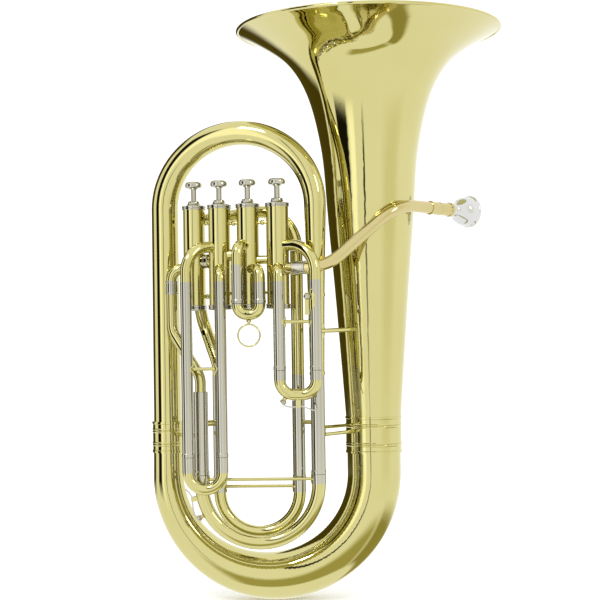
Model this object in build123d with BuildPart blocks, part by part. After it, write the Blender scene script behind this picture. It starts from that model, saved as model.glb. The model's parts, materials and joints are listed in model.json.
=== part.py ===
from build123d import *
from math import cos, radians, sin, sqrt, tan
import os

os.makedirs("parts", exist_ok=True)

# ---------------------------------------------------------------- driving dimensions, millimetres
# The bell stands upright on its own axis; +Z is up, the valves face -Y, the low bow rests at Z = 0.
bell_x = 50.4
bell_top = 644.0
bell_radius = 150.0
bell_wall = 1.0
rim_wire = 1.9
bell_joint_z = 206.0
branch_joint_z = 203.0

bow_centre_x = -66.3
bow_centre_z = 143.04
bow_radius = 116.7
bow_wall = 1.0
branch_x = bow_centre_x - bow_radius

crook_left = (branch_x, 0.0, 442.0)
crook_right = (-13.4, -56.5, 442.0)
crook_height = 83.0

# valves, first to fourth, as (x, y) of the casing axis
valve_axes = [(-54.8, -59.0), (-87.4, -50.5), (-119.1, -42.0), (-148.0, -29.0)]
casing_outer = 12.2
casing_bore = 10.9
casing_foot = 333.4
casing_head = 442.0
cap_outer = 13.4
cap_seat = 439.5
piston_radius = 10.84
piston_foot = 372.0
piston_head = 436.0
stem_radius = 3.0
button_foot = 462.6
button_head = 470.8
button_radius = 9.4
valve_travel = 13.0

# valve slides: outer sleeve, sliding inner leg and bow
sleeve_outer = 6.4
sleeve_bore = 5.95
leg_outer = 5.90
leg_bore = 5.40
bend_outer = 6.2
bend_bore = 5.5

first_left = (-54.0, -84.0)
first_right = (-15.0, -88.0)
first_foot = 262.0
first_bow_z = 250.8
second_left = (-98.9, -75.0)
second_right = (-74.8, -78.0)
second_foot = 334.5
third_left = (-155.1, -67.0)
third_right = (-118.0, -68.0)
third_foot = 168.0
third_bow_z = 151.0

# fourth-valve slide
fourth_left = (-122.7, -33.5)
fourth_right = (-34.5, -39.5)
fourth_foot = 140.0
fourth_bow_z = 125.4
fourth_outer = 7.0
fourth_bore = 6.45

# main tuning slide
main_left = (-141.9, -50.5)
main_right = (-13.4, -56.5)
main_foot = 147.0
main_bow_z = 136.2
main_outer = 7.8
main_bore = 7.2

# leadpipe and mouthpiece
lead_outer = 6.7
lead_bore = 5.8
lead_turn = Vector(91.5, -42.0, 440.2)
lead_axis = Vector(0.745, 0.666, -0.03).normalized()
receiver_start = 31.6
receiver_end = 67.0
mouth_end = 100.0


# ---------------------------------------------------------------- shared shapes
def bent_path(points, bends):
    """Straight runs joined by tangent arcs, one bend radius for every inner corner."""
    with BuildLine() as run:
        start = Vector(*points[0])
        for before, here, after, radius in zip(points, points[1:], points[2:], bends):
            corner = Vector(*here)
            into = (corner - Vector(*before)).normalized()
            out = (Vector(*after) - corner).normalized()
            half = radians(into.get_angle(out) / 2)
            reach = radius * tan(half)
            middle = corner + (out - into).normalized() * (radius / cos(half) - radius)
            first = corner - into * reach
            last = corner + out * reach
            if (first - start).length > 0.01:
                Line(start, first)
            ThreePointArc(first, middle, last)
            start = last
        if (Vector(*points[-1]) - start).length > 0.01:
            Line(start, Vector(*points[-1]))
    return run.wire()


def pipe(points, bends, outer, bore):
    """A round tube of constant size along a bent path; a bore of 0 makes a rod."""
    path = bent_path(points, bends)
    with BuildPart() as made:
        with BuildSketch(Plane(origin=path @ 0, z_dir=path % 0)):
            Circle(outer)
            if bore > 0:
                Circle(bore, mode=Mode.SUBTRACT)
        sweep(path=path)
    return made.part


def turned(profile):
    """A solid of revolution about Z from a closed outline of (radius, height) corners."""
    with BuildPart() as made:
        with BuildSketch(Plane.XZ):
            with BuildLine():
                Polyline(*profile, close=True)
            make_face()
        revolve(axis=Axis.Z)
    return made.part


def collar(outer, bore, foot, head, bead=0.0):
    """A ferrule: a short sleeve, with a raised bead at each end when bead is given."""
    if bead <= 0:
        return turned([(bore, foot), (outer, foot), (outer, head), (bore, head)])
    step = min(2.2, (head - foot) / 4)
    big = outer + bead
    return turned([
        (bore, foot), (big - 0.4, foot), (big, foot + 0.4), (big, foot + step - 0.4),
        (outer, foot + step), (outer, head - step), (big, head - step + 0.4),
        (big, head - 0.4), (big - 0.4, head), (bore, head),
    ])


def lofted(stations):
    """A solid through circles; every station is (origin, direction, radius)."""
    with BuildPart() as made:
        for origin, direction, radius in stations:
            with BuildSketch(Plane(origin=origin, x_dir=(0, 1, 0.001), z_dir=direction)):
                Circle(radius)
        loft()
    return made.part


def bow_stations(centre, right, down, radii, start, end):
    """Circle stations round an arc with half axes right and down; angles in degrees."""
    out = []
    last = len(radii) - 1
    for index, radius in enumerate(radii):
        angle = radians(start + (end - start) * index / last)
        origin = centre + right * cos(angle) + down * sin(angle)
        direction = right * -sin(angle) + down * cos(angle)
        out.append((origin, direction, radius))
    return out


def cone_tube(foot, head, foot_radius, head_radius, wall):
    return turned([
        (foot_radius - wall, foot), (foot_radius, foot),
        (head_radius, head), (head_radius - wall, head),
    ])


def slide_legs(left, right, foot, left_head, right_head, outer, bore, collar_outer, collar_head):
    """Both inner legs of a slide, each with the visible collar below its sleeve."""
    with BuildPart() as made:
        for place, head in ((left, left_head), (right, right_head)):
            with Locations((place[0], place[1], 0)):
                add(turned([
                    (bore, foot), (collar_outer, foot), (collar_outer, collar_head - 0.6),
                    (collar_outer - 0.5, collar_head), (outer, collar_head),
                    (outer, head), (bore, head),
                ]))
    return made.part


def sleeves(left, right, foot, left_head, right_head, outer, bore, bead):
    """Both fixed sleeves of a slide with a reinforcing ring at the open end."""
    with BuildPart() as made:
        for place, head in ((left, left_head), (right, right_head)):
            with Locations((place[0], place[1], 0)):
                add(turned([
                    (bore, foot), (outer + bead, foot), (outer + bead, foot + 3.4),
                    (outer, foot + 4.2), (outer, head), (bore, head),
                ]))
    return made.part


def slide_bow(left, right, top, bottom, bend, outer, bore):
    """The bow joining two legs, square-shouldered when the bend is less than half the spacing."""
    path = [
        (left[0], left[1], top), (left[0], left[1], bottom),
        (right[0], right[1], bottom), (right[0], right[1], top),
    ]
    return pipe(path, [bend, bend], outer, bore)


def knuckle(leg, leg_head, port_z, valve, bend):
    """An elbow from the head of a sleeve into the side of a casing."""
    axis = valve_axes[valve]
    with BuildPart() as made:
        add(pipe([
            (leg[0], leg[1], leg_head), (leg[0], leg[1], port_z), (axis[0], axis[1], port_z),
        ], [bend], bend_outer, bend_bore))
        with Locations((axis[0], axis[1], port_z)):
            Cylinder(casing_outer, 40, mode=Mode.SUBTRACT)
    solids = made.part.solids()
    return Part() + sorted(solids, key=lambda s: s.volume)[-1]


def rod(start, end, radius):
    """A straight round rod with slightly eased ends, made along its own axis."""
    run = Vector(*end) - Vector(*start)
    length = run.length
    body = turned([
        (0, 0), (radius - 0.6, 0), (radius, 0.8), (radius, length - 0.8),
        (radius - 0.6, length), (0, length),
    ])
    return Plane(origin=start, z_dir=run).location * body


def foot_plate(place, tube, height, toward, half_width=5.4, half_height=6.2):
    """A thin diamond plate wrapped round an upright tube, soldered under the end of a brace."""
    face = Vector(toward[0] - place[0], toward[1] - place[1], 0).normalized()
    middle = (place[0], place[1], height)
    with BuildPart() as made:
        with BuildSketch(Plane(origin=middle, x_dir=(-face.Y, face.X, 0), z_dir=face)):
            with BuildLine():
                Polyline(
                    (half_width, -0.8), (half_width, 0.8), (0.9, half_height),
                    (-0.9, half_height), (-half_width, 0.8), (-half_width, -0.8),
                    (-0.9, -half_height), (0.9, -half_height), close=True)
            make_face()
        extrude(amount=tube + 4)
        with Locations(middle):
            Cylinder(tube + 0.8, 30, mode=Mode.INTERSECT)
            Cylinder(tube, 30, mode=Mode.SUBTRACT)
    return made.part


def leg_brace(left, right, height, radius, tube, half_height=6.2):
    """A rod between two upright tubes with a diamond plate on each of them."""
    with BuildPart() as made:
        add(rod((*left, height), (*right, height), radius))
        add(foot_plate(left, tube, height, right, 5.4, half_height))
        add(foot_plate(right, tube, height, left, 5.4, half_height))
        for place in (left, right):
            add(post(place, tube, height - 20, height + 20), mode=Mode.SUBTRACT)
    return made.part


def post(place, radius, foot=0.0, head=700.0):
    """A plain upright cylinder used to trim parts that butt against a tube."""
    with BuildPart() as made:
        with BuildSketch(Plane.XY.offset(foot)):
            with Locations(place):
                Circle(radius)
        extrude(amount=head - foot)
    return made.part


# ---------------------------------------------------------------- bell
bell_curve = [
    (31.4, bell_joint_z), (37.2, 287), (43.2, 365), (50.2, 452), (54.3, 502), (59.0, 529),
    (65.0, 554), (72.0, 574), (82.0, 593), (95.0, 609), (114.0, 623), (131.0, 633),
    (bell_radius - rim_wire - 1.40, bell_top - rim_wire - 1.28),
]
bell_back = []
for index, (r, z) in enumerate(bell_curve):
    before = bell_curve[max(index - 1, 0)]
    after = bell_curve[min(index + 1, len(bell_curve) - 1)]
    run_r = after[0] - before[0]
    run_z = after[1] - before[1]
    size = sqrt(run_r * run_r + run_z * run_z)
    bell_back.append((r - bell_wall * run_z / size, z + bell_wall * run_r / size))
bell_back[0] = (bell_curve[0][0] - bell_wall, bell_joint_z)

with BuildPart() as bell:
    with BuildSketch(Plane.XZ):
        with BuildLine():
            flare = Spline(*bell_curve)
            inside = Spline(*bell_back)
            Line(bell_curve[0], bell_back[0])
            Line(bell_curve[-1], bell_back[-1])
        make_face()
    revolve(axis=Axis.Z)
bell.part = Pos(bell_x, 0, 0) * bell.part
bell.part.label = "bell"
export_step(bell.part, "parts/bell.step")

with BuildPart() as bell_core:
    with BuildSketch(Plane.XZ):
        with BuildLine():
            Spline(*bell_curve)
            Polyline(bell_curve[-1], (0, bell_curve[-1][1]), (0, bell_joint_z), bell_curve[0])
        make_face()
    revolve(axis=Axis.Z)
bell_solid = Pos(bell_x, 0, 0) * bell_core.part

rim_r = bell_radius - rim_wire
rim_z = bell_top - rim_wire
rim_rows = [bell_curve[-1]]
for turn in (-118, -98, -78, -58, -38, -18, 2, 22, 42, 60):
    rim_rows.append((rim_r + rim_wire * cos(radians(turn)), rim_z + rim_wire * sin(radians(turn))))
rim_rows += [(rim_r + 0.7, bell_top), (rim_r - 0.7, bell_top)]
for turn in (120, 138, 156, 174):
    rim_rows.append((rim_r + rim_wire * cos(radians(turn)), rim_z + rim_wire * sin(radians(turn))))
rim_rows.append(bell_back[-1])
with BuildPart() as rim:
    add(turned(rim_rows))
rim.part = Pos(bell_x, 0, 0) * rim.part
rim.part.label = "rim"
export_step(rim.part, "parts/rim.step")

# ---------------------------------------------------------------- bottom bow and garlands
bow_radii = [16.6, 18.2, 20.8, 24.0, 26.5, 28.0, 29.0, 29.8, 30.4]
bow_middle = Vector(bow_centre_x, 0, bow_centre_z)
bow_right = Vector(bow_radius, 0, 0)
bow_down = Vector(0, 0, bow_radius)


def bow_solid(shrink):
    round_part = bow_stations(
        bow_middle, bow_right, bow_down, [r - shrink for r in bow_radii], 180, 360)
    return lofted(round_part)


with BuildPart() as bottom_bow:
    add(bow_solid(0))
    with Locations((bell_x, 0, 0)):
        add(turned([(0, bow_centre_z), (30.4, bow_centre_z), (30.4, 176), (0, 176)]))
    with Locations((branch_x, 0, 0)):
        add(turned([(0, bow_centre_z), (16.6, bow_centre_z), (16.2, 176), (0, 176)]))
    add(bow_solid(bow_wall), mode=Mode.SUBTRACT)
    with Locations((bell_x, 0, 0)):
        add(turned([(0, bow_centre_z), (29.4, bow_centre_z), (29.4, 177), (0, 177)]),
            mode=Mode.SUBTRACT)
    with Locations((branch_x, 0, 0)):
        add(turned([(0, bow_centre_z), (15.6, bow_centre_z), (15.2, 177), (0, 177)]),
            mode=Mode.SUBTRACT)
bottom_bow.part.label = "bottom_bow"
export_step(bottom_bow.part, "parts/bottom_bow.step")


def garland(bow_outer, bow_head, upper_outer, foot, head, outer):
    """A garland: one broad band over the joint, with paired beads and edge rings."""
    rows = [(bow_outer + 0.02, foot), (outer + 0.7, foot)]
    height = foot + 2.4
    rows += [(outer + 0.7, height), (outer, height + 0.5)]
    for line in (foot + 7.5, head - 12.5):
        rows += [(outer, line), (outer + 0.6, line + 0.7), (outer + 0.6, line + 1.4)]
        rows += [(outer, line + 2.1), (outer, line + 2.6), (outer + 0.6, line + 3.3)]
        rows += [(outer + 0.6, line + 4.0), (outer, line + 4.7)]
    rows += [(outer, head - 2.9), (outer + 0.7, head - 2.4), (outer + 0.7, head)]
    rows += [(upper_outer + 0.02, head), (upper_outer + 0.02, bow_head + 0.02)]
    rows += [(bow_outer + 0.02, bow_head + 0.02)]
    return turned(rows)


with BuildPart() as bell_garland:
    with Locations((bell_x, 0, 0)):
        add(garland(30.4, 176, 29.6, 165.0, bell_joint_z, 31.5))
bell_garland.part.label = "bell_garland"
export_step(bell_garland.part, "parts/bell_garland.step")

with BuildPart() as branch_garland:
    with Locations((branch_x, 0, 0)):
        add(garland(16.6, 176, 15.3, 168.0, branch_joint_z, 17.0))
branch_garland.part.label = "branch_garland"
export_step(branch_garland.part, "parts/branch_garland.step")

# ---------------------------------------------------------------- left branch, top bow, right leg
with BuildPart() as left_branch:
    with Locations((branch_x, 0, 0)):
        add(cone_tube(branch_joint_z, crook_left[2], 15.6, 14.9, 0.9))
left_branch.part.label = "left_branch"
export_step(left_branch.part, "parts/left_branch.step")

crook_start = Vector(*crook_left)
crook_end = Vector(*crook_right)
crook_middle = (crook_start + crook_end) * 0.5
crook_right_axis = (crook_end - crook_start) * 0.5
crook_up = Vector(0, 0, crook_height)
crook_radii = [14.9, 14.6, 14.2, 13.8, 13.4, 13.1, 12.8, 12.4, 12.0]


def crook_solid(shrink):
    radii = [r - shrink for r in crook_radii]
    return lofted(bow_stations(crook_middle, crook_right_axis, crook_up, radii, 180, 0))


with BuildPart() as top_bow:
    add(crook_solid(0))
    add(crook_solid(0.9), mode=Mode.SUBTRACT)
top_bow.part.label = "top_bow"
export_step(top_bow.part, "parts/top_bow.step")

leg_break = 343.0
with BuildPart() as right_leg:
    with Locations((crook_right[0], crook_right[1], 0)):
        add(cone_tube(255.0, leg_break, 7.9, 9.2, 0.8))
        add(cone_tube(leg_break, crook_right[2], 9.2, 12.0, 0.8))
        add(collar(9.9, 9.1, leg_break - 2.0, leg_break + 2.0))
        add(collar(8.5, 7.6, 255.0, 259.0))
right_leg.part.label = "right_leg"
export_step(right_leg.part, "parts/right_leg.step")

# ---------------------------------------------------------------- valves
for index, (x, y) in enumerate(valve_axes):
    number = index + 1
    with BuildPart() as casing:
        with Locations((x, y, 0)):
            add(turned([
                (casing_bore, casing_foot), (casing_outer, casing_foot),
                (casing_outer, cap_seat), (casing_outer - 0.6, cap_seat),
                (casing_outer - 0.6, casing_head), (casing_bore, casing_head),
            ]))
    casing.part.label = f"casing_{number}"
    export_step(casing.part, f"parts/casing_{number}.step")

    with BuildPart() as piston:
        with Locations((x, y, 0)):
            add(turned([
                (piston_radius - 0.9, piston_foot), (piston_radius, piston_foot),
                (piston_radius, piston_head), (stem_radius, piston_head),
                (stem_radius, button_foot), (0, button_foot), (0, piston_head - 1.2),
                (piston_radius - 0.9, piston_head - 1.2),
            ]))
    piston.part.label = f"piston_{number}"
    export_step(piston.part, f"parts/piston_{number}.step")

    with BuildPart() as button:
        with Locations((x, y, 0)):
            add(turned([
                (0, button_foot), (4.2, button_foot), (5.0, button_foot + 1.0),
                (button_radius - 1.8, button_foot + 1.3), (button_radius - 0.8, button_foot + 1.8),
                (button_radius - 0.2, button_foot + 2.8), (button_radius, button_foot + 4.2),
                (button_radius - 0.2, button_foot + 5.6), (button_radius - 0.8, button_foot + 6.8),
                (button_radius - 1.8, button_foot + 7.7), (button_radius - 3.2, button_head),
                (0, button_head),
            ]))
    button.part.label = f"button_{number}"
    export_step(button.part, f"parts/button_{number}.step")

with BuildPart() as top_caps:
    for x, y in valve_axes:
        with Locations((x, y, 0)):
            add(turned([
                (casing_outer - 0.58, cap_seat), (cap_outer - 0.3, cap_seat),
                (cap_outer, cap_seat + 0.3), (cap_outer, 440.9), (cap_outer - 0.5, 441.2),
                (cap_outer - 0.5, 441.7), (cap_outer, 442.0), (cap_outer, 443.3),
                (cap_outer - 0.4, 443.8), (9.4, 444.6), (7.6, 445.4), (6.5, 447.2),
                (6.3, 448.6), (5.7, 449.2), (stem_radius + 0.06, 449.2),
                (stem_radius + 0.06, 442.1), (casing_outer - 0.58, 442.1),
            ]))
top_caps.part.label = "top_caps"
export_step(top_caps.part, "parts/top_caps.step")

with BuildPart() as bottom_caps:
    for x, y in valve_axes:
        with Locations((x, y, 0)):
            add(turned([
                (0, 327.0), (3.0, 327.0), (3.4, 327.8), (11.6, 327.8), (cap_outer - 0.4, 328.4),
                (cap_outer, 328.9), (cap_outer, 330.0), (cap_outer - 0.5, 330.4),
                (cap_outer - 0.5, 330.9), (cap_outer, 331.3), (cap_outer, 333.0),
                (cap_outer - 0.4, casing_foot), (9.6, casing_foot), (9.6, 329.8), (0, 329.8),
            ]))
bottom_caps.part.label = "bottom_caps"
export_step(bottom_caps.part, "parts/bottom_caps.step")

links = [(0, 1, 382.0, 5.0), (1, 2, 388.0, 6.6), (2, 3, 382.0, 6.6)]
ties = [(0, 1, 346.0), (1, 2, 346.0), (2, 3, 343.0), (0, 1, 423.0), (1, 2, 423.0), (2, 3, 425.0)]


def between(a, b, height, profile):
    """A turned piece on the line from the axis of casing a to that of casing b."""
    start = Vector(*valve_axes[a], height)
    run = Vector(*valve_axes[b], height) - start
    return Plane(origin=start, z_dir=run).location * turned(profile(run.length / 2))


def link_profile(radius):
    return lambda half: [
        (radius - 0.8, 9.0), (radius, 9.0), (radius, 2 * half - 9.0), (radius - 0.8, 2 * half - 9.0)]


def tie_profile(half):
    rows = [(0, 9.0), (1.6, 9.0)]
    for turn in range(-52, 53, 13):
        rows.append((2.9 * cos(radians(turn)), half + 2.9 * sin(radians(turn))))
    return rows + [(1.6, 2 * half - 9.0), (0, 2 * half - 9.0)]


with BuildPart() as casing_links:
    for a, b, z, r in links:
        add(between(a, b, z, link_profile(r)))
    for a, b, z in ties:
        add(between(a, b, z, tie_profile))
    for x, y in valve_axes:
        with Locations((x, y, 380)):
            Cylinder(casing_outer, 160, mode=Mode.SUBTRACT)
casing_links.part.label = "casing_links"
export_step(casing_links.part, "parts/casing_links.step")

# ---------------------------------------------------------------- first-valve slide
first_left_head = 357.5
first_right_head = 358.7
with BuildPart() as first_knuckles:
    add(knuckle(first_left, first_left_head, 372.0, 0, 11.5))
    add(knuckle(first_right, first_right_head, 397.0, 0, 30.0))
first_knuckles.part.label = "first_knuckles"
export_step(first_knuckles.part, "parts/first_knuckles.step")

with BuildPart() as first_sleeves:
    add(sleeves(first_left, first_right, first_foot, first_left_head, first_right_head,
                sleeve_outer, sleeve_bore, 0.5))
first_sleeves.part.label = "first_sleeves"
export_step(first_sleeves.part, "parts/first_sleeves.step")

with BuildPart() as first_legs:
    add(slide_legs(first_left, first_right, first_bow_z, 352.0, 350.0,
                   leg_outer, leg_bore, sleeve_outer + 0.2, first_foot - 0.05))
first_legs.part.label = "first_legs"
export_step(first_legs.part, "parts/first_legs.step")

with BuildPart() as first_bow:
    add(slide_bow(first_left, first_right, first_bow_z, 235.2, 15.5, bend_outer, bend_bore))
first_bow.part.label = "first_bow"
export_step(first_bow.part, "parts/first_bow.step")

# ---------------------------------------------------------------- second-valve slide and its ring
second_left_head = 376.3
second_right_head = 357.2
with BuildPart() as second_knuckles:
    add(knuckle(second_left, second_left_head, 398.0, 1, 11.5))
    add(knuckle(second_right, second_right_head, 372.0, 1, 11.5))
second_knuckles.part.label = "second_knuckles"
export_step(second_knuckles.part, "parts/second_knuckles.step")

with BuildPart() as second_sleeves:
    add(sleeves(second_left, second_right, second_foot, second_left_head, second_right_head,
                sleeve_outer, sleeve_bore, 0.4))
second_sleeves.part.label = "second_sleeves"
export_step(second_sleeves.part, "parts/second_sleeves.step")

with BuildPart() as second_legs:
    add(slide_legs(second_left, second_right, second_foot - 1.6, 374.0, 355.0,
                   leg_outer, leg_bore, sleeve_outer + 0.1, second_foot - 0.05))
second_legs.part.label = "second_legs"
export_step(second_legs.part, "parts/second_legs.step")

with BuildPart() as second_bow:
    add(slide_bow(second_left, second_right, second_foot - 1.6, 322.2, 10.5, bend_outer, bend_bore))
second_bow.part.label = "second_bow"
export_step(second_bow.part, "parts/second_bow.step")

ring_x = (second_left[0] + second_right[0]) / 2
ring_y = (second_left[1] + second_right[1]) / 2
ring_z = 299.6
ring_radius = 11.9
ring_wire = 0.95
with BuildPart() as second_ring:
    with Locations(Location((ring_x, ring_y, ring_z), (90, 0, 0))):
        Torus(ring_radius, ring_wire)
    with Locations((ring_x, ring_y, (ring_z + ring_radius + 316.2) / 2)):
        Cylinder(1.5, 316.4 - ring_z - ring_radius)
    with Locations((ring_x, ring_y, 315.0)):
        Cylinder(2.6, 2.0)
    add(second_bow.part, mode=Mode.SUBTRACT)
second_ring.part.label = "second_ring"
export_step(second_ring.part, "parts/second_ring.step")

# ---------------------------------------------------------------- third-valve slide
third_left_head = 358.3
third_right_head = 358.8
with BuildPart() as third_knuckles:
    add(knuckle(third_left, third_left_head, 397.0, 2, 28.0))
    add(knuckle(third_right, third_right_head, 372.0, 2, 12.0))
third_knuckles.part.label = "third_knuckles"
export_step(third_knuckles.part, "parts/third_knuckles.step")

with BuildPart() as third_sleeves:
    add(sleeves(third_left, third_right, third_foot, third_left_head, third_right_head,
                sleeve_outer, sleeve_bore, 0.5))
third_sleeves.part.label = "third_sleeves"
export_step(third_sleeves.part, "parts/third_sleeves.step")

with BuildPart() as third_legs:
    add(slide_legs(third_left, third_right, third_bow_z, 330.0, 330.0,
                   leg_outer, leg_bore, sleeve_outer + 0.2, third_foot - 0.05))
third_legs.part.label = "third_legs"
export_step(third_legs.part, "parts/third_legs.step")

third_half = (third_right[0] - third_left[0]) / 2
with BuildPart() as third_bow:
    add(slide_bow(third_left, third_right, third_bow_z, third_bow_z - third_half,
                  third_half - 0.1, bend_outer, bend_bore))
third_bow.part.label = "third_bow"
export_step(third_bow.part, "parts/third_bow.step")

with BuildPart() as sleeve_braces:
    add(leg_brace(first_left, first_right, 313.8, 1.9, sleeve_outer))
    add(leg_brace(third_left, third_right, 263.7, 1.8, sleeve_outer))
sleeve_braces.part.label = "sleeve_braces"
export_step(sleeve_braces.part, "parts/sleeve_braces.step")

# ---------------------------------------------------------------- fourth-valve loop
fourth_head = 255.0
fourth_axis = valve_axes[3]
with BuildPart() as fourth_pipes:
    add(pipe([
        (*fourth_right, fourth_head), (*fourth_right, 441.0), (-136.5, -6.0, 430.0),
        (fourth_axis[0] - 1.0, fourth_axis[1] + 6.0, 429.0),
    ], [42.0, 9.0], 6.9, 6.1))
    add(pipe([
        (*fourth_left, fourth_head), (*fourth_left, 266.0), (-141.5, -8.5, 318.0),
        (-147.0, -5.5, 352.0), (fourth_axis[0], fourth_axis[1] + 6.0, 352.0),
    ], [30.0, 40.0, 9.5], 6.9, 6.1))
    with Locations((*fourth_axis, 380)):
        Cylinder(casing_outer, 160, mode=Mode.SUBTRACT)
fourth_pipes.part = Part() + sorted(fourth_pipes.part.solids(), key=lambda s: -s.volume)[:2]
fourth_pipes.part.label = "fourth_pipes"
export_step(fourth_pipes.part, "parts/fourth_pipes.step")

with BuildPart() as fourth_sleeves:
    add(sleeves(fourth_left, fourth_right, fourth_foot, fourth_head, fourth_head,
                fourth_outer, fourth_bore, 0.5))
fourth_sleeves.part.label = "fourth_sleeves"
export_step(fourth_sleeves.part, "parts/fourth_sleeves.step")

with BuildPart() as fourth_legs:
    add(slide_legs(fourth_left, fourth_right, fourth_bow_z, 245.0, 245.0,
                   fourth_bore - 0.05, fourth_bore - 0.6, fourth_outer + 0.1, fourth_foot - 0.05))
fourth_legs.part.label = "fourth_legs"
export_step(fourth_legs.part, "parts/fourth_legs.step")

fourth_half = (fourth_right[0] - fourth_left[0]) / 2
with BuildPart() as fourth_bow:
    add(slide_bow(fourth_left, fourth_right, fourth_bow_z, fourth_bow_z - fourth_half,
                  fourth_half - 0.3, 6.8, 6.1))
fourth_bow.part.label = "fourth_bow"
export_step(fourth_bow.part, "parts/fourth_bow.step")

with BuildPart() as fourth_brace:
    add(leg_brace(fourth_left, fourth_right, 132.0, 1.8, fourth_outer + 0.1))
fourth_brace.part.label = "fourth_brace"
export_step(fourth_brace.part, "parts/fourth_brace.step")

# ---------------------------------------------------------------- main tuning slide
main_left_head = 238.0
main_right_head = 255.0
exit_x = -173.9
exit_y = -29.0
exit_outer = 6.0
with BuildPart() as exit_pipe:
    add(pipe([
        (fourth_axis[0] - 6.0, fourth_axis[1], 374.0), (exit_x, exit_y, 374.0),
        (exit_x, exit_y - 0.6, 305.0), (main_left[0], main_left[1], 255.0),
        (main_left[0], main_left[1], main_left_head),
    ], [12.0, 26.0, 24.0], exit_outer, exit_outer - 0.7))
    with Locations((*fourth_axis, 380)):
        Cylinder(casing_outer, 160, mode=Mode.SUBTRACT)
exit_pipe.part = Part() + sorted(exit_pipe.part.solids(), key=lambda s: -s.volume)[:1]
exit_pipe.part.label = "exit_pipe"
export_step(exit_pipe.part, "parts/exit_pipe.step")

with BuildPart() as main_sleeves:
    add(sleeves(main_left, main_right, main_foot, main_left_head, main_right_head,
                main_outer, main_bore, 0.6))
main_sleeves.part.label = "main_sleeves"
export_step(main_sleeves.part, "parts/main_sleeves.step")

with BuildPart() as main_legs:
    add(slide_legs(main_left, main_right, main_bow_z, 230.0, 230.0,
                   main_bore - 0.05, main_bore - 0.6, main_outer + 0.2, main_foot - 0.05))
main_legs.part.label = "main_legs"
export_step(main_legs.part, "parts/main_legs.step")

main_half = (main_right[0] - main_left[0]) / 2
with BuildPart() as main_bow:
    add(slide_bow(main_left, main_right, main_bow_z, main_bow_z - main_half,
                  main_half - 0.3, 7.6, 6.8))
main_bow.part.label = "main_bow"
export_step(main_bow.part, "parts/main_bow.step")

with BuildPart() as main_brace:
    add(leg_brace(main_left, main_right, 141.5, 1.8, main_outer + 0.2, 5.0))
main_brace.part.label = "main_brace"
export_step(main_brace.part, "parts/main_brace.step")

# ---------------------------------------------------------------- water keys
def key_frame(pivot, toward_cork, outward):
    """Local frame of a water key: X toward the cork, Y away from the tube, Z the hinge."""
    hinge = toward_cork.cross(outward)
    return Plane(origin=pivot, x_dir=toward_cork, z_dir=hinge)


def key_lever(frame, arm, finger, cup_base, cup_axis):
    """The lever of a water key: barrel, cork cup arm and finger arm."""
    with BuildPart() as made:
        with BuildSketch(frame):
            with BuildLine():
                long_arm = Spline(*arm)
            trace(long_arm, line_width=1.5)
        extrude(amount=1.7, both=True)
        with BuildSketch(frame):
            with BuildLine():
                short_arm = Spline(*finger)
            trace(short_arm, line_width=1.3)
        extrude(amount=1.9, both=True)
        with BuildSketch(frame):
            with BuildLine():
                plate = Line(finger[-2], finger[-1])
            trace(plate, line_width=1.3)
        extrude(amount=3.4, both=True)
        with Locations(frame):
            Cylinder(1.9, 5.0)
        add(Plane(origin=cup_base, z_dir=cup_axis).location * turned([
            (0, 0), (2.4, 0), (3.5, 0.8), (3.5, 2.7), (0, 2.7)]))
        add(Plane(origin=cup_base, z_dir=cup_axis).location * turned([
            (0, 1.5), (2.92, 1.5), (2.92, 4.0), (0, 4.0)]), mode=Mode.SUBTRACT)
        with Locations(frame):
            Cylinder(0.86, 8.0, mode=Mode.SUBTRACT)
    return made.part


def key_cork(cup_base, cup_axis):
    return Plane(origin=cup_base, z_dir=cup_axis).location * turned([
        (0, 1.52), (2.90, 1.52), (2.90, 3.6), (2.6, 3.95), (0, 3.95)])


def key_saddle(frame, depth, nipple_foot, nipple_axis, nipple_height):
    """The saddle soldered under the bow, its pivot pin, and the drain nipple."""
    with BuildPart() as made:
        for side in (-1, 1):
            with BuildSketch(frame.offset(side * 3.1)):
                with Locations((0, (1.7 - depth) / 2)):
                    RectangleRounded(5.0, depth + 1.7, 0.8)
            extrude(amount=0.45, both=True)
        with Locations(frame):
            Cylinder(0.80, 8.4)
        add(Plane(origin=nipple_foot, z_dir=nipple_axis).location * turned([
            (1.2, 0), (2.3, 0), (2.1, nipple_height), (1.2, nipple_height)]))
    return made.part


first_bend = 15.5
first_bend_middle = Vector(first_left[0] + first_bend, 0, 235.2 + first_bend)
first_key_y = (first_left[1] + first_right[1]) / 2
first_pivot = Vector(-34.2, first_key_y, 223.1)
first_frame = key_frame(first_pivot, Vector(-1, 0, 0), Vector(0, 0, -1))
first_out = Vector(-0.472, 0, -0.8816).normalized()
first_nipple_foot = first_bend_middle + first_out * 21.15 + Vector(0, first_left[1] - 0.45, 0)
first_nipple_height = 2.9
first_cup = first_nipple_foot + first_out * (first_nipple_height + 4.0)
with BuildPart() as first_key_saddle:
    add(key_saddle(first_frame, 7.3, first_nipple_foot, first_out, first_nipple_height))
    add(first_bow.part, mode=Mode.SUBTRACT)
first_key_saddle.part.label = "first_key_saddle"
export_step(first_key_saddle.part, "parts/first_key_saddle.step")

first_cup_local = (first_pivot.X - first_cup.X, first_pivot.Z - first_cup.Z)
with BuildPart() as first_key_lever:
    add(key_lever(
        first_frame,
        [(0, 0), (7.0, 0.9), (12.5, 0.2), (first_cup_local[0] + 0.2, first_cup_local[1] - 0.1)],
        [(0, 0), (-6.0, 1.0), (-11.5, 3.2), (-18.2, 4.9)],
        first_cup, first_out * -1))
first_key_lever.part.label = "first_key_lever"
export_step(first_key_lever.part, "parts/first_key_lever.step")

with BuildPart() as first_key_cork:
    add(key_cork(first_cup, first_out * -1))
first_key_cork.part.label = "first_key_cork"
export_step(first_key_cork.part, "parts/first_key_cork.step")

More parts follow.
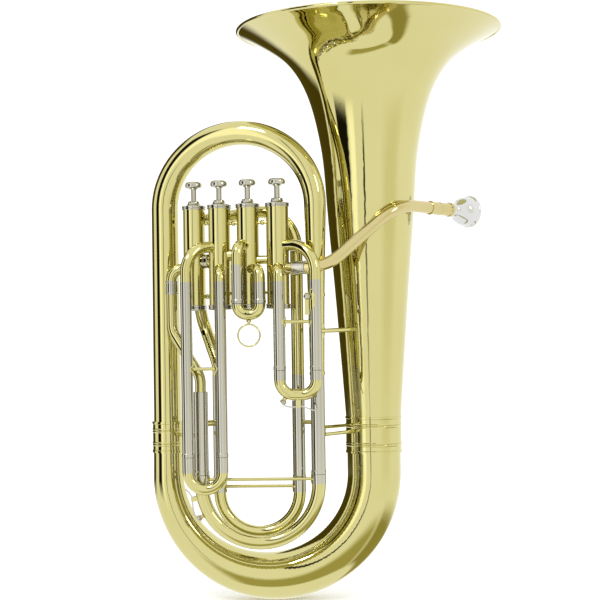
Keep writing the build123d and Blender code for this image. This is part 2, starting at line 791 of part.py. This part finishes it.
main_bend = main_half - 0.3
main_middle = Vector((main_left[0] + main_right[0]) / 2, 0, main_bow_z)
main_key_y = main_left[1] - 0.1
pivot_turn = radians(192.2)
cork_turn = radians(208.7)
main_pivot_out = Vector(cos(pivot_turn), 0, sin(pivot_turn))
main_pivot_along = Vector(-sin(pivot_turn), 0, cos(pivot_turn))
main_pivot = main_middle + main_pivot_out * (main_bend + 12.3) + Vector(0, main_key_y, 0)
main_frame = key_frame(main_pivot, main_pivot_along, main_pivot_out)
main_out = Vector(cos(cork_turn), 0, sin(cork_turn))
main_nipple_foot = main_middle + main_out * (main_bend + 7.1) + Vector(0, main_key_y - 0.1, 0)
main_nipple_height = 3.9
main_cup = main_nipple_foot + main_out * (main_nipple_height + 4.0)
main_cup_reach = main_cup - main_pivot
main_cup_local = (main_cup_reach.dot(main_pivot_along), main_cup_reach.dot(main_pivot_out))
with BuildPart() as main_key_saddle:
    add(key_saddle(main_frame, 6.0, main_nipple_foot, main_out, main_nipple_height))
    add(main_bow.part, mode=Mode.SUBTRACT)
main_key_saddle.part.label = "main_key_saddle"
export_step(main_key_saddle.part, "parts/main_key_saddle.step")

with BuildPart() as main_key_lever:
    add(key_lever(
        main_frame,
        [(0, 0), (8.0, 1.6), (15.5, 1.7), (main_cup_local[0] + 0.2, main_cup_local[1] + 0.1)],
        [(0, 0), (-4.0, 0.6), (-8.2, 2.2), (-12.8, 4.9)],
        main_cup, main_out * -1))
main_key_lever.part.label = "main_key_lever"
export_step(main_key_lever.part, "parts/main_key_lever.step")

with BuildPart() as main_key_cork:
    add(key_cork(main_cup, main_out * -1))
main_key_cork.part.label = "main_key_cork"
export_step(main_key_cork.part, "parts/main_key_cork.step")

# ---------------------------------------------------------------- lyre holder
lyre_z = 337.0
lyre_screw_z = 340.6
clip_x = first_right[0] - sleeve_outer - 2.5
clip_y = first_right[1] + 1.5
clip_half = 2.4
clip_wall = 0.9
clip_front = clip_y - clip_half
with BuildPart() as lyre_holder:
    with BuildSketch(Plane(origin=(first_right[0], first_right[1], lyre_z), z_dir=(-0.78, -0.62, 0))):
        Ellipse(5.2, 12.0)
    extrude(amount=9.0)
    with Locations((first_right[0], first_right[1], lyre_z)):
        Cylinder(sleeve_outer + 0.8, 30, mode=Mode.INTERSECT)
    with BuildSketch(Plane.XY.offset(321.0)):
        with Locations((clip_x, clip_y)):
            Rectangle(2 * clip_half, 2 * clip_half)
            Rectangle(2 * (clip_half - clip_wall), 2 * (clip_half - clip_wall), mode=Mode.SUBTRACT)
    extrude(amount=24.0)
    add(post(first_right, sleeve_outer, 300, 380), mode=Mode.SUBTRACT)
    with Locations(Location((clip_x, clip_front, lyre_screw_z), (90, 0, 0))):
        Cylinder(1.36, 3.0, mode=Mode.SUBTRACT)
lyre_holder.part = Part() + sorted(lyre_holder.part.solids(), key=lambda piece: -piece.volume)[:1]
lyre_holder.part.label = "lyre_holder"
export_step(lyre_holder.part, "parts/lyre_holder.step")

ball = 3.5
with BuildPart() as lyre_screw:
    rows = [(0, -ball)]
    for turn in range(-75, 61, 15):
        rows.append((ball * cos(radians(turn)), ball * sin(radians(turn))))
    rows += [(1.3, 3.1), (1.3, 7.4), (0, 7.4)]
    place = Plane(origin=(clip_x, clip_front - 6.1, lyre_screw_z), z_dir=(0, 1, 0))
    add(place.location * turned(rows))
lyre_screw.part.label = "lyre_screw"
export_step(lyre_screw.part, "parts/lyre_screw.step")

# ---------------------------------------------------------------- leadpipe, receiver, mouthpiece
lead_start = Vector(valve_axes[0][0], valve_axes[0][1], 372.0)
lead_first = Vector(-13.0, -75.5, 372.6)
lead_second = Vector(6.0, -72.0, 379.5)
lead_third = lead_turn - lead_axis * 20.0
lead_end = lead_turn + lead_axis * 44.0
lead_run = [tuple(lead_start), tuple(lead_first), tuple(lead_second), tuple(lead_third), tuple(lead_end)]
lead_bends = [25.0, 50.0, 60.0]
lead_full = pipe(lead_run, lead_bends, lead_outer, 0)
with BuildPart() as leadpipe:
    add(pipe(lead_run, lead_bends, lead_outer, lead_bore))
    with Locations((valve_axes[0][0], valve_axes[0][1], 380)):
        Cylinder(casing_outer, 160, mode=Mode.SUBTRACT)
leadpipe.part = Part() + sorted(leadpipe.part.solids(), key=lambda s: -s.volume)[:1]
leadpipe.part.label = "leadpipe"
export_step(leadpipe.part, "parts/leadpipe.step")

mouth_frame = Plane(origin=lead_turn, z_dir=lead_axis)
with BuildPart() as receiver:
    add(mouth_frame.location * turned([
        (lead_outer + 0.02, receiver_start), (7.4, receiver_start), (7.8, receiver_start + 0.5),
        (7.8, receiver_start + 2.5), (7.3, receiver_start + 3.0), (7.3, 45.0), (7.6, 45.6),
        (7.6, 47.4), (7.3, 48.0), (7.3, receiver_end - 4.6), (8.1, receiver_end - 4.0),
        (8.1, receiver_end - 0.4), (7.7, receiver_end), (6.12, receiver_end), (5.52, 44.05),
        (lead_outer + 0.02, 44.05),
    ]))
receiver.part.label = "receiver"
export_step(receiver.part, "parts/receiver.step")

with BuildPart() as mouthpiece:
    with BuildSketch(Plane.XZ):
        with BuildLine():
            Polyline((4.4, 45.5), (5.50, 45.5), (6.06, receiver_end + 0.02), (6.5, 67.6))
            Spline((6.5, 67.6), (6.7, 70.0), (8.8, 75.0), (12.4, 80.0), (15.2, 85.0),
                   (16.5, 90.5), (16.9, 95.0))
            Spline((16.9, 95.0), (17.9, 96.2), (18.4, 98.2), (17.6, 99.7), (16.0, mouth_end),
                   (14.2, 99.3), (13.0, 97.4))
            Spline((13.0, 97.4), (12.6, 93.0), (11.2, 87.0), (7.6, 79.0), (3.6, 74.0),
                   (3.3, 71.0))
            Line((3.3, 71.0), (4.4, 45.5))
        make_face()
    revolve(axis=Axis.Z)
mouthpiece.part = mouth_frame.location * mouthpiece.part
mouthpiece.part.label = "mouthpiece"
export_step(mouthpiece.part, "parts/mouthpiece.step")

with BuildPart() as ferrules:
    add(Plane(origin=lead_start, z_dir=lead_first - lead_start).location * collar(
        7.2, lead_outer + 0.02, 17.5, 33.0, 0.3))
    add(between(2, 3, 382.0, lambda half: [
        (6.62, half - 2.9), (7.7, half - 2.9), (8.0, half - 2.5), (8.0, half - 1.4),
        (7.5, half - 1.0), (7.5, half + 1.0), (8.0, half + 1.4), (8.0, half + 2.5),
        (7.7, half + 2.9), (6.62, half + 2.9)]))
    with Locations((exit_x, exit_y, 0)):
        add(collar(6.7, exit_outer + 0.02, 346.0, 361.0, 0.3))
    add(exit_pipe.part, mode=Mode.SUBTRACT)
ferrules.part.label = "ferrules"
export_step(ferrules.part, "parts/ferrules.step")

# ---------------------------------------------------------------- braces of the body
garland_solid = post((bell_x, 0), 32.22, 160, 210)
leg_here = (crook_right[0], crook_right[1])
with BuildPart() as body_braces:
    add(rod((-9.4, -65.6, 303.3), (33.0, -26.0, 304.2), 2.4))
    add(foot_plate(leg_here, 8.56, 303.3, (-4.0, -66.0), 7.0, 8.0))
    add(rod((main_right[0], main_right[1], 189.0), (30.0, -18.5, 190.2), 2.0))
    add(rod((main_right[0], main_right[1], 197.5), (20.5, -2.0, 195.5), 2.0))
    add(foot_plate(main_right, main_outer, 193.0, (22.0, -12.0), 7.0, 11.0))
    add(rod((main_left[0], main_left[1], 190.0), (branch_x, 0, 188.5), 2.0))
    add(foot_plate(main_left, main_outer, 190.0, (branch_x, 0)))
    add(pipe([(*main_left, 203.0), (*fourth_left, 203.0)], [], 3.4, 0))
    add(pipe([(*main_right, 203.0), (*fourth_right, 203.0)], [], 2.4, 0))
    pad = lead_second + (lead_third - lead_second) * 0.6
    add(pipe([tuple(pad), (bell_x + 3.0, -30.0, pad.Z - 1.0)], [], 3.0, 0))
    add(bell_solid, mode=Mode.SUBTRACT)
    add(garland_solid, mode=Mode.SUBTRACT)
    add(post((branch_x, 0), 17.72, 160, 210), mode=Mode.SUBTRACT)
    add(post(main_left, main_outer, 160, 230), mode=Mode.SUBTRACT)
    add(post(main_right, main_outer, 160, 230), mode=Mode.SUBTRACT)
    add(post(fourth_left, fourth_outer, 160, 230), mode=Mode.SUBTRACT)
    add(post(fourth_right, fourth_outer, 160, 230), mode=Mode.SUBTRACT)
    add(lead_full, mode=Mode.SUBTRACT)
    with Locations((crook_right[0], crook_right[1], 0)):
        add(turned([(0, 255), (7.9, 255), (9.2, leg_break), (0, leg_break)]), mode=Mode.SUBTRACT)
keep = [s for s in body_braces.part.solids() if s.volume > 40]
body_braces.part = Part() + keep
body_braces.part.label = "body_braces"
export_step(body_braces.part, "parts/body_braces.step")
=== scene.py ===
import json
from math import cos, pi, radians, sin

import bpy
from mathutils import Matrix, Vector


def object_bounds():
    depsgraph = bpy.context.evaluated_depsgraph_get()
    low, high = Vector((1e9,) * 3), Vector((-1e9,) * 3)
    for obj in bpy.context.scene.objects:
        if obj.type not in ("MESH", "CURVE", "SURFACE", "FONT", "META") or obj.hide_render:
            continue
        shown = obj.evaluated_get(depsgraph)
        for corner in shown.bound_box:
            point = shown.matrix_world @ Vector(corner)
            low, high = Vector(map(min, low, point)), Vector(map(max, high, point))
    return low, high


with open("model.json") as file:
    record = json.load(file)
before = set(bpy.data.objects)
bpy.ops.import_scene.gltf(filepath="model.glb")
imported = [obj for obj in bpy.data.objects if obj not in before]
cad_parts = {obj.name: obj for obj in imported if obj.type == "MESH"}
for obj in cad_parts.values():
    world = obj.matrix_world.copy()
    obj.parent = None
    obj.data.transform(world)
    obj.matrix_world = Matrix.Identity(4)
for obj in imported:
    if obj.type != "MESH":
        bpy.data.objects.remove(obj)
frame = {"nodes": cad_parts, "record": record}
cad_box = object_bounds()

scene = bpy.context.scene

NOISE_ROUGHNESS = 0.55
DRIFT_SCALE = 9.0       # colour drift, about a hand's width
GLOSS_SCALE = 26.0      # patchy gloss
BUFFING_SCALE = 420.0   # very fine buffing lines
CORK_SCALE = 900.0
COAT_ROUGHNESS = 0.03
COAT_IOR = 1.5
CENTRE_X = -0.06        # the cards stand in arcs round this X
CARD_STEPS = 24
FLOOR_REACH = 12.0
ROOM = 1.2              # brightness of the white studio round the object
WHITE = (1, 1, 1)
BLACK = (0.012, 0.010, 0.006)
# painted reflection: a dim brass tone for a card that only reflections see, standing in for
# the brass reflecting its own darker parts
PAINTED_BRASS_REFLECTION = (0.085, 0.065, 0.008)
MIDDLE = (0, 0, 0.32)   # the point that the lamps aim at
SENSOR = 36.0
PICTURE = 600           # the picture's side, in the unit of the next two values
FOCAL = 1418.5
SHIFT_UP = 20
CAMERA_ROLL = 0.0145


# ------------------------------------------------------------------ materials
def new_material(name):
    """An empty node material with a Principled shader and its output."""
    made = bpy.data.materials.new(name)
    made.use_nodes = True
    tree = made.node_tree
    tree.nodes.clear()
    shader = tree.nodes.new("ShaderNodeBsdfPrincipled")
    out = tree.nodes.new("ShaderNodeOutputMaterial")
    tree.links.new(shader.outputs["BSDF"], out.inputs["Surface"])
    return made, tree, shader


def noise(tree, scale, detail, stretch=(1, 1, 1)):
    """Object-space noise, stretched by a mapping."""
    where = tree.nodes.new("ShaderNodeTexCoord")
    mapping = tree.nodes.new("ShaderNodeMapping")
    mapping.inputs["Scale"].default_value = stretch
    made = tree.nodes.new("ShaderNodeTexNoise")
    made.inputs["Scale"].default_value = scale
    made.inputs["Detail"].default_value = detail
    made.inputs["Roughness"].default_value = NOISE_ROUGHNESS
    tree.links.new(where.outputs["Object"], mapping.inputs["Vector"])
    tree.links.new(mapping.outputs["Vector"], made.inputs["Vector"])
    return made.outputs["Fac"]


def ranged(tree, value, low, high, start, end):
    """A noise value between start and end, mapped to a range from low to high."""
    made = tree.nodes.new("ShaderNodeMapRange")
    made.inputs["From Min"].default_value = start
    made.inputs["From Max"].default_value = end
    made.inputs["To Min"].default_value = low
    made.inputs["To Max"].default_value = high
    tree.links.new(value, made.inputs["Value"])
    return made.outputs["Result"]


def blended(tree, factor, first, second):
    """Two colours mixed by a factor."""
    made = tree.nodes.new("ShaderNodeMix")
    made.data_type = "RGBA"
    made.inputs["A"].default_value = (*first, 1)
    made.inputs["B"].default_value = (*second, 1)
    tree.links.new(factor, made.inputs["Factor"])
    return made.outputs["Result"]


def add_bump(tree, shader, height, strength, distance):
    """Fine relief on a shader's normal."""
    bump = tree.nodes.new("ShaderNodeBump")
    bump.inputs["Strength"].default_value = strength
    bump.inputs["Distance"].default_value = distance
    tree.links.new(height, bump.inputs["Height"])
    tree.links.new(bump.outputs["Normal"], shader.inputs["Normal"])


def metal(name, bright, deep, rough, coat, lines=0.012, stretch=(1, 1, 1)):
    """Polished metal: soft colour drift, patchy gloss and very fine buffing lines."""
    made, tree, shader = new_material(name)
    drift = ranged(tree, noise(tree, DRIFT_SCALE, 5.0), 0.0, 1.0, 0.30, 0.72)
    tree.links.new(blended(tree, drift, bright, deep), shader.inputs["Base Color"])
    shader.inputs["Metallic"].default_value = 1.0
    gloss = ranged(tree, noise(tree, GLOSS_SCALE, 6.0), rough[0], rough[1], 0.3, 0.7)
    tree.links.new(gloss, shader.inputs["Roughness"])
    shader.inputs["Coat Weight"].default_value = coat
    shader.inputs["Coat Roughness"].default_value = COAT_ROUGHNESS
    shader.inputs["Coat IOR"].default_value = COAT_IOR
    add_bump(tree, shader, noise(tree, BUFFING_SCALE, 3.0, stretch), lines, 0.0002)
    return made


def cork_material():
    """Cork: small dark specks that also stand in slight relief."""
    made, tree, shader = new_material("cork")
    speck = ranged(tree, noise(tree, CORK_SCALE, 5.0), 0.0, 1.0, 0.40, 0.60)
    tree.links.new(blended(tree, speck, (0.50, 0.31, 0.16), (0.24, 0.13, 0.06)),
                   shader.inputs["Base Color"])
    shader.inputs["Roughness"].default_value = 0.85
    add_bump(tree, shader, speck, 0.5, 0.0003)
    return made


finishes = {
    "lacquered_brass": metal("lacquered_brass", (0.595, 0.552, 0.245), (0.565, 0.515, 0.21),
                             (0.025, 0.06), 0.15),
    "nickel_silver": metal("nickel_silver", (0.51, 0.495, 0.415), (0.45, 0.435, 0.36),
                           (0.02, 0.055), 0.0, 0.02, (1, 1, 0.04)),
    "rose_brass": metal("rose_brass", (0.60, 0.52, 0.26), (0.55, 0.47, 0.21),
                        (0.03, 0.07), 0.12),
    "silver_plate": metal("silver_plate", (0.68, 0.68, 0.67), (0.58, 0.58, 0.57),
                          (0.03, 0.06), 0.0),
    "cork": cork_material(),
}

slots = {row["node"]: row["material_slot"] for row in frame["record"]["subparts"]}
for name, node in frame["nodes"].items():
    node.data.materials.clear()
    node.data.materials.append(finishes[slots[name]])

# ------------------------------------------------------------------ floor, cards, lights

def edge_fade(tree, axis, half, soft):
    """1 inside a card and 0 at its two edges along one local axis, with a smooth fall."""
    where = tree.nodes.new("ShaderNodeTexCoord")
    split = tree.nodes.new("ShaderNodeSeparateXYZ")
    size = tree.nodes.new("ShaderNodeMath")
    size.operation = "ABSOLUTE"
    fall = tree.nodes.new("ShaderNodeMapRange")
    fall.interpolation_type = "SMOOTHSTEP"
    fall.inputs["From Min"].default_value = half * (1 - soft)
    fall.inputs["From Max"].default_value = half
    fall.inputs["To Min"].default_value = 1
    fall.inputs["To Max"].default_value = 0
    tree.links.new(where.outputs["Object"], split.inputs["Vector"])
    tree.links.new(split.outputs[axis], size.inputs[0])
    tree.links.new(size.outputs["Value"], fall.inputs["Value"])
    return fall.outputs["Result"]


def card(name, azimuth, width, tone, strength, soft,
         reach=2.6, low=-0.6, high=3.0):
    """An upright curved card that only reflections see.

    Azimuth 0 is on the camera's side and positive is to the right; width is in degrees.
    Reach is its distance, low and high are its heights, and soft is the faded share of
    its sides and of its top and bottom.
    """
    mesh = bpy.data.meshes.new(name)
    half = reach * radians(width) / 2
    rise = (high - low) / 2
    corners = []
    faces = []
    for step in range(CARD_STEPS + 1):
        across = -half + 2 * half * step / CARD_STEPS
        bend = reach * (1 - cos(across / reach))
        out = reach * sin(across / reach)
        corners += [(out, bend, -rise), (out, bend, rise)]
        if step:
            faces.append((2 * step - 2, 2 * step, 2 * step + 1, 2 * step - 1))
    mesh.from_pydata(corners, [], faces)
    made = bpy.data.objects.new(name, mesh)
    scene.collection.objects.link(made)
    turn = radians(azimuth)
    place = Vector((CENTRE_X + reach * sin(turn), -reach * cos(turn), (low + high) / 2))
    made.matrix_world = Matrix.Translation(place) @ Matrix.Rotation(turn, 4, "Z")
    paint = bpy.data.materials.new(name)
    paint.use_nodes = True
    tree = paint.node_tree
    tree.nodes.clear()
    glow = tree.nodes.new("ShaderNodeEmission")
    glow.inputs["Color"].default_value = (*tone, 1)
    glow.inputs["Strength"].default_value = strength
    clear = tree.nodes.new("ShaderNodeBsdfTransparent")
    both = tree.nodes.new("ShaderNodeMath")
    both.operation = "MULTIPLY"
    wide = reach * sin(min(half / reach, pi / 2))
    tree.links.new(edge_fade(tree, "X", wide, soft[0]), both.inputs[0])
    tree.links.new(edge_fade(tree, "Z", rise, soft[1]), both.inputs[1])
    mix = tree.nodes.new("ShaderNodeMixShader")
    out = tree.nodes.new("ShaderNodeOutputMaterial")
    tree.links.new(both.outputs["Value"], mix.inputs["Fac"])
    tree.links.new(clear.outputs["BSDF"], mix.inputs[1])
    tree.links.new(glow.outputs["Emission"], mix.inputs[2])
    tree.links.new(mix.outputs["Shader"], out.inputs["Surface"])
    mesh.materials.append(paint)
    made.visible_camera = False
    made.visible_diffuse = False
    made.visible_shadow = False
    made.visible_transmission = False


def floor():
    """A plain pale floor at the object's lowest point."""
    mesh = bpy.data.meshes.new("floor")
    far = FLOOR_REACH
    low = cad_box[0][2]
    corners = [(-far, -far, low), (far, -far, low), (far, far, low), (-far, far, low)]
    mesh.from_pydata(corners, [], [(0, 1, 2, 3)])
    made = bpy.data.objects.new("floor", mesh)
    scene.collection.objects.link(made)
    paint, tree, shader = new_material("floor")
    shader.inputs["Base Color"].default_value = (0.93, 0.93, 0.93, 1)
    shader.inputs["Roughness"].default_value = 0.9
    shader.inputs["Emission Color"].default_value = (1, 1, 1, 1)
    shader.inputs["Emission Strength"].default_value = 0.12
    mesh.materials.append(paint)
    made.visible_glossy = False


floor()
card("card_black_left", -64, 30, BLACK, 1, (0.25, 0.3))
# painted reflection: a dim brass-toned card behind on the left, standing in for the brass
# reflecting itself
card("card_dark_back_left", -140, 68, PAINTED_BRASS_REFLECTION, 1, (0.15, 0.3))
card("card_glow_left", -41, 18, WHITE, 1.4 * ROOM, (0.6, 0.3), 2.5)
card("card_line_front", -15, 6, (0.03, 0.025, 0.008), 1, (0.6, 0.5), 2.5)
card("card_shade_right", 50, 60, (0.86, 0.85, 0.72), ROOM, (0.8, 0.5), 2.5)
# painted shade: two dim brass-toned cards, low and close round the lower part, darken its
# reflections where the surroundings near the floor would be in shade
card("card_painted_shade_low_front", 15, 120, (0.46, 0.42, 0.17), ROOM, (0.3, 0.5), 0.36, -0.42, 0.02)
card("card_painted_shade_low_right", 104, 90, (0.36, 0.32, 0.11), ROOM, (0.3, 0.5), 0.37, -0.42, 0.04)

world = bpy.data.worlds.new("studio")
scene.world = world
world.use_nodes = True
backdrop = world.node_tree.nodes["Background"]
backdrop.inputs["Color"].default_value = (*WHITE, 1)
backdrop.inputs["Strength"].default_value = ROOM
scene.view_settings.view_transform = "Standard"
scene.view_settings.look = "None"


def area_light(name, place, size, watts):
    """A rectangular white lamp aimed at the middle of the object."""
    data = bpy.data.lights.new(name, "AREA")
    data.shape = "RECTANGLE"
    data.size, data.size_y = size
    data.energy = watts
    made = bpy.data.objects.new(name, data)
    scene.collection.objects.link(made)
    aim = (Vector(place) - Vector(MIDDLE)).normalized()
    turn = aim.to_track_quat("Z", "Y").to_matrix().to_4x4()
    made.matrix_world = Matrix.Translation(place) @ turn


area_light("key", (-1.1, -1.5, 2.2), (0.5, 0.5), 14)
area_light("fill", (1.8, -1.6, 1.2), (0.3, 1.2), 8)

# ------------------------------------------------------------------ camera
lens = bpy.data.cameras.new("camera")
lens.sensor_width = SENSOR
lens.lens = SENSOR * FOCAL / PICTURE
lens.shift_y = SHIFT_UP / PICTURE
camera = bpy.data.objects.new("camera", lens)
scene.collection.objects.link(camera)
camera.location = (-0.0315, -1.610, 0.3155)
camera.rotation_euler = (pi / 2, CAMERA_ROLL, 0)
scene.camera = camera
